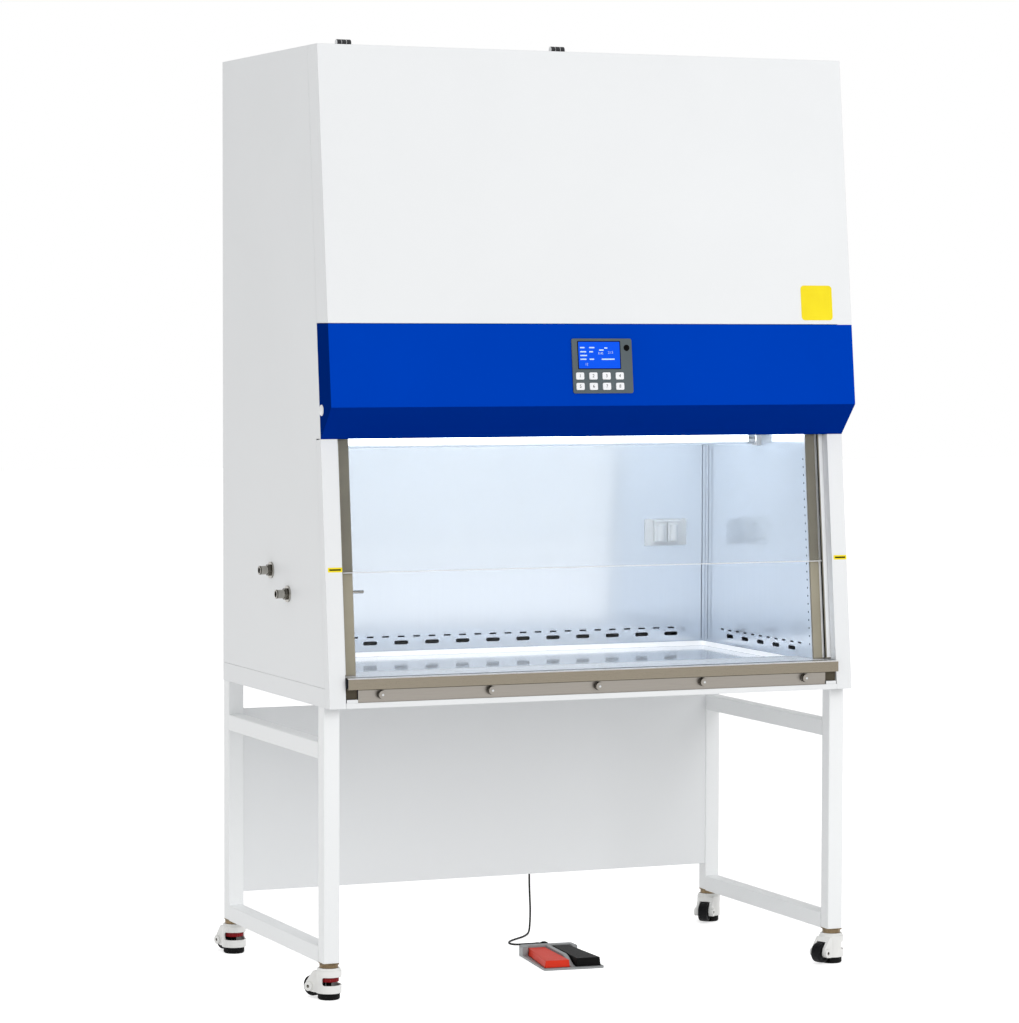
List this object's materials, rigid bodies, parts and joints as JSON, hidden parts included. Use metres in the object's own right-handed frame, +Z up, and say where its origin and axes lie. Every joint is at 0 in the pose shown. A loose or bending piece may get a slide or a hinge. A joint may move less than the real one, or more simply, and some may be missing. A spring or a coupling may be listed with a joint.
{
  "type": "biosafety cabinet",
  "caption": "Free-standing safety cabinet: sloping sliding glass front, lit steel work chamber, blue control panel, tube stand on levelling casters, and a foot switch on its cable.",
  "frame": {"origin": "middle of the footprint on the floor, the loose cable left out", "axes": "+X to the right seen from the front, +Y to the back, +Z up"},
  "size_m": [1.4225, 0.8364, 2.266],
  "materials": {
    "white_paint": "satin powder coat",
    "blue_paint": "satin powder coat",
    "stainless": "brushed",
    "sheet_steel": "dull galvanised",
    "aluminium": "satin anodised",
    "clear_glass": "polished",
    "lamp_glass": "frosted",
    "grey_plastic": "fine texture",
    "screen": "gloss",
    "key_plastic": "smooth",
    "belt_rubber": "matt",
    "motor_paint": "satin",
    "filter_media": "pleated",
    "socket_plastic": "gloss",
    "chrome": "polished",
    "knob_plastic": "gloss",
    "cast_housing": "satin",
    "race_steel": "yellow passivated",
    "wheel_nylon": "smooth",
    "red_plastic": "gloss",
    "foot_rubber": "matt",
    "switch_body": "hammered",
    "pedal_red": "fine texture",
    "pedal_black": "fine texture",
    "cable_rubber": "matt"
  },
  "bodies": {
    "cabinet": {"outer_shell": "white_paint", "top_panel": "white_paint", "control_panel": "blue_paint", "display_plate": "grey_plastic", "display_screen": "screen", "base_tray": "white_paint", "inner_walls": "stainless", "work_tray": "stainless", "front_grille": "stainless", "sill_strip": "stainless", "sash_guides": "stainless", "drive_belts": "belt_rubber", "sash_motor": "motor_paint", "chamber_lamps": "lamp_glass", "socket_plate": "socket_plastic", "service_taps": "chrome", "air_filters": "filter_media", "blower_housing": "sheet_steel", "stand_frame": "white_paint", "modesty_panel": "white_paint", "caster_plates": "race_steel", "pedal_base": "switch_body", "cable_glands": "cable_rubber", "foot_switch_cable": "cable_rubber"},
    "cover": {"front_cover": "white_paint"},
    "sash": {"sash_glass": "clear_glass", "sash_rail": "aluminium"},
    "shaft": {"drive_shaft": "aluminium"},
    "idlers": {"idler_pulleys": "aluminium"},
    "impeller": {"blower_wheel": "sheet_steel"},
    "flap_left": {"socket_flap_left": "socket_plastic"},
    "flap_right": {"socket_flap_right": "socket_plastic"},
    "knob_rear": {"tap_knob_rear": "knob_plastic"},
    "knob_front": {"tap_knob_front": "knob_plastic"},
    "left_pedal": {"pedal_left": "pedal_red"},
    "right_pedal": {"pedal_right": "pedal_black"},
    "key_1": {"key_1": "key_plastic"},
    "key_2": {"key_2": "key_plastic"},
    "key_3": {"key_3": "key_plastic"},
    "key_4": {"key_4": "key_plastic"},
    "key_5": {"key_5": "key_plastic"},
    "key_6": {"key_6": "key_plastic"},
    "key_7": {"key_7": "key_plastic"},
    "key_8": {"key_8": "key_plastic"},
    "front_left_housing": {"front_left_caster_housing": "cast_housing"},
    "front_left_wheel": {"front_left_caster_wheel": "wheel_nylon"},
    "front_left_thumbwheel": {"front_left_caster_thumbwheel": "red_plastic"},
    "front_left_foot": {"front_left_caster_foot": "foot_rubber"},
    "front_right_housing": {"front_right_caster_housing": "cast_housing"},
    "front_right_wheel": {"front_right_caster_wheel": "wheel_nylon"},
    "front_right_thumbwheel": {"front_right_caster_thumbwheel": "red_plastic"},
    "front_right_foot": {"front_right_caster_foot": "foot_rubber"},
    "rear_left_housing": {"rear_left_caster_housing": "cast_housing"},
    "rear_left_wheel": {"rear_left_caster_wheel": "wheel_nylon"},
    "rear_left_thumbwheel": {"rear_left_caster_thumbwheel": "red_plastic"},
    "rear_left_foot": {"rear_left_caster_foot": "foot_rubber"},
    "rear_right_housing": {"rear_right_caster_housing": "cast_housing"},
    "rear_right_wheel": {"rear_right_caster_wheel": "wheel_nylon"},
    "rear_right_thumbwheel": {"rear_right_caster_thumbwheel": "red_plastic"},
    "rear_right_foot": {"rear_right_caster_foot": "foot_rubber"}
  },
  "joints": [
    {"name": "sash_slide", "type": "slide", "parent": "cabinet", "child": "sash", "axis": [0, 0.0991, 0.9951], "range_m": [-0.244, 0.2]},
    {"name": "shaft_turn", "type": "hinge", "parent": "cabinet", "child": "shaft", "pos_m": [0.01075, -0.26718, 2.15], "axis": [1, 0, 0], "range_deg": [-670, 560]},
    {"name": "idler_turn", "type": "hinge", "parent": "cabinet", "child": "idlers", "pos_m": [0.01075, -0.34334, 1.385], "axis": [1, 0, 0], "range_deg": [-670, 560]},
    {"name": "cover_hinge", "type": "hinge", "parent": "cabinet", "child": "cover", "pos_m": [0.01075, -0.25371, 2.258], "axis": [-1, 0, 0], "range_deg": [0, 80]},
    {"name": "impeller_spin", "type": "hinge", "parent": "cabinet", "child": "impeller", "pos_m": [0.01075, 0.17179, 1.8003], "axis": [0, 1, 0], "continuous": true},
    {"name": "flap_left_hinge", "type": "hinge", "parent": "cabinet", "child": "flap_left", "pos_m": [0.48025, 0.23979, 1.08], "axis": [-1, 0, 0], "range_deg": [0, 110]},
    {"name": "flap_right_hinge", "type": "hinge", "parent": "cabinet", "child": "flap_right", "pos_m": [0.51725, 0.23979, 1.08], "axis": [-1, 0, 0], "range_deg": [0, 110]},
    {"name": "knob_rear_turn", "type": "hinge", "parent": "cabinet", "child": "knob_rear", "pos_m": [-0.57825, 0.00329, 1.023], "axis": [0, 0, 1], "range_deg": [-90, 0]},
    {"name": "knob_front_turn", "type": "hinge", "parent": "cabinet", "child": "knob_front", "pos_m": [-0.57825, -0.11821, 0.973], "axis": [0, 0, 1], "range_deg": [-90, 0]},
    {"name": "key_1_press", "type": "slide", "parent": "cabinet", "child": "key_1", "axis": [0, 0.9937, -0.1122], "range_m": [0, 0.002], "stiffness_N_per_m": 400, "springref_m": -0.0005},
    {"name": "key_2_press", "type": "slide", "parent": "cabinet", "child": "key_2", "axis": [0, 0.9937, -0.1122], "range_m": [0, 0.002], "stiffness_N_per_m": 400, "springref_m": -0.0005},
    {"name": "key_3_press", "type": "slide", "parent": "cabinet", "child": "key_3", "axis": [0, 0.9937, -0.1122], "range_m": [0, 0.002], "stiffness_N_per_m": 400, "springref_m": -0.0005},
    {"name": "key_4_press", "type": "slide", "parent": "cabinet", "child": "key_4", "axis": [0, 0.9937, -0.1122], "range_m": [0, 0.002], "stiffness_N_per_m": 400, "springref_m": -0.0005},
    {"name": "key_5_press", "type": "slide", "parent": "cabinet", "child": "key_5", "axis": [0, 0.9937, -0.1122], "range_m": [0, 0.002], "stiffness_N_per_m": 400, "springref_m": -0.0005},
    {"name": "key_6_press", "type": "slide", "parent": "cabinet", "child": "key_6", "axis": [0, 0.9937, -0.1122], "range_m": [0, 0.002], "stiffness_N_per_m": 400, "springref_m": -0.0005},
    {"name": "key_7_press", "type": "slide", "parent": "cabinet", "child": "key_7", "axis": [0, 0.9937, -0.1122], "range_m": [0, 0.002], "stiffness_N_per_m": 400, "springref_m": -0.0005},
    {"name": "key_8_press", "type": "slide", "parent": "cabinet", "child": "key_8", "axis": [0, 0.9937, -0.1122], "range_m": [0, 0.002], "stiffness_N_per_m": 400, "springref_m": -0.0005},
    {"name": "left_pedal_press", "type": "hinge", "parent": "cabinet", "child": "left_pedal", "pos_m": [0.02012, 0.00112, 0.014], "axis": [0.9954, -0.0958, 0], "range_deg": [0, 1], "stiffness_Nm_per_rad": 5, "springref_deg": -5.73},
    {"name": "right_pedal_press", "type": "hinge", "parent": "cabinet", "child": "right_pedal", "pos_m": [0.09975, -0.00655, 0.014], "axis": [0.9954, -0.0958, 0], "range_deg": [0, 1], "stiffness_Nm_per_rad": 5, "springref_deg": -5.73},
    {"name": "front_left_swivel", "type": "hinge", "parent": "cabinet", "child": "front_left_housing", "pos_m": [-0.65925, -0.34721, 0.07], "axis": [0, 0, 1], "continuous": true},
    {"name": "front_left_roll", "type": "hinge", "parent": "front_left_housing", "child": "front_left_wheel", "pos_m": [-0.68204, -0.31074, 0.029], "axis": [-0.848, -0.5299, 0], "continuous": true},
    {"name": "front_left_thumb_turn", "type": "hinge", "parent": "front_left_housing", "child": "front_left_thumbwheel", "pos_m": [-0.65925, -0.34721, 0.05], "axis": [0, 0, 1], "range_deg": [-1440, 1260]},
    {"name": "front_left_level", "type": "slide", "parent": "front_left_housing", "child": "front_left_foot", "axis": [0, 0, -1], "range_m": [-0.00801, 0.00701]},
    {"name": "front_right_swivel", "type": "hinge", "parent": "cabinet", "child": "front_right_housing", "pos_m": [0.68075, -0.34721, 0.07], "axis": [0, 0, 1], "continuous": true},
    {"name": "front_right_roll", "type": "hinge", "parent": "front_right_housing", "child": "front_right_wheel", "pos_m": [0.64147, -0.3647, 0.029], "axis": [0.4067, -0.9135, 0], "continuous": true},
    {"name": "front_right_thumb_turn", "type": "hinge", "parent": "front_right_housing", "child": "front_right_thumbwheel", "pos_m": [0.68075, -0.34721, 0.05], "axis": [0, 0, 1], "range_deg": [-1440, 1260]},
    {"name": "front_right_level", "type": "slide", "parent": "front_right_housing", "child": "front_right_foot", "axis": [0, 0, -1], "range_m": [-0.00801, 0.00701]},
    {"name": "rear_left_swivel", "type": "hinge", "parent": "cabinet", "child": "rear_left_housing", "pos_m": [-0.65925, 0.34979, 0.07], "axis": [0, 0, 1], "continuous": true},
    {"name": "rear_left_roll", "type": "hinge", "parent": "rear_left_housing", "child": "rear_left_wheel", "pos_m": [-0.66892, 0.39169, 0.029], "axis": [-0.9744, -0.225, 0], "continuous": true},
    {"name": "rear_left_thumb_turn", "type": "hinge", "parent": "rear_left_housing", "child": "rear_left_thumbwheel", "pos_m": [-0.65925, 0.34979, 0.05], "axis": [0, 0, 1], "range_deg": [-1440, 1260]},
    {"name": "rear_left_level", "type": "slide", "parent": "rear_left_housing", "child": "rear_left_foot", "axis": [0, 0, -1], "range_m": [-0.00801, 0.00701]},
    {"name": "rear_right_swivel", "type": "hinge", "parent": "cabinet", "child": "rear_right_housing", "pos_m": [0.68075, 0.34979, 0.07], "axis": [0, 0, 1], "continuous": true},
    {"name": "rear_right_roll", "type": "hinge", "parent": "rear_right_housing", "child": "rear_right_wheel", "pos_m": [0.65254, 0.31734, 0.029], "axis": [0.7547, -0.6561, 0], "continuous": true},
    {"name": "rear_right_thumb_turn", "type": "hinge", "parent": "rear_right_housing", "child": "rear_right_thumbwheel", "pos_m": [0.68075, 0.34979, 0.05], "axis": [0, 0, 1], "range_deg": [-1440, 1260]},
    {"name": "rear_right_level", "type": "slide", "parent": "rear_right_housing", "child": "rear_right_foot", "axis": [0, 0, -1], "range_m": [-0.00801, 0.00701]}
  ],
  "couplings": [
    {"joint": "shaft_turn", "follows": "sash_slide", "rad_per_m": 46.948},
    {"joint": "idler_turn", "follows": "sash_slide", "rad_per_m": 46.948},
    {"joint": "front_left_level", "follows": "front_left_thumb_turn", "m_per_rad": 0.00031831},
    {"joint": "front_right_level", "follows": "front_right_thumb_turn", "m_per_rad": 0.00031831},
    {"joint": "rear_left_level", "follows": "rear_left_thumb_turn", "m_per_rad": 0.00031831},
    {"joint": "rear_right_level", "follows": "rear_right_thumb_turn", "m_per_rad": 0.00031831}
  ]
}
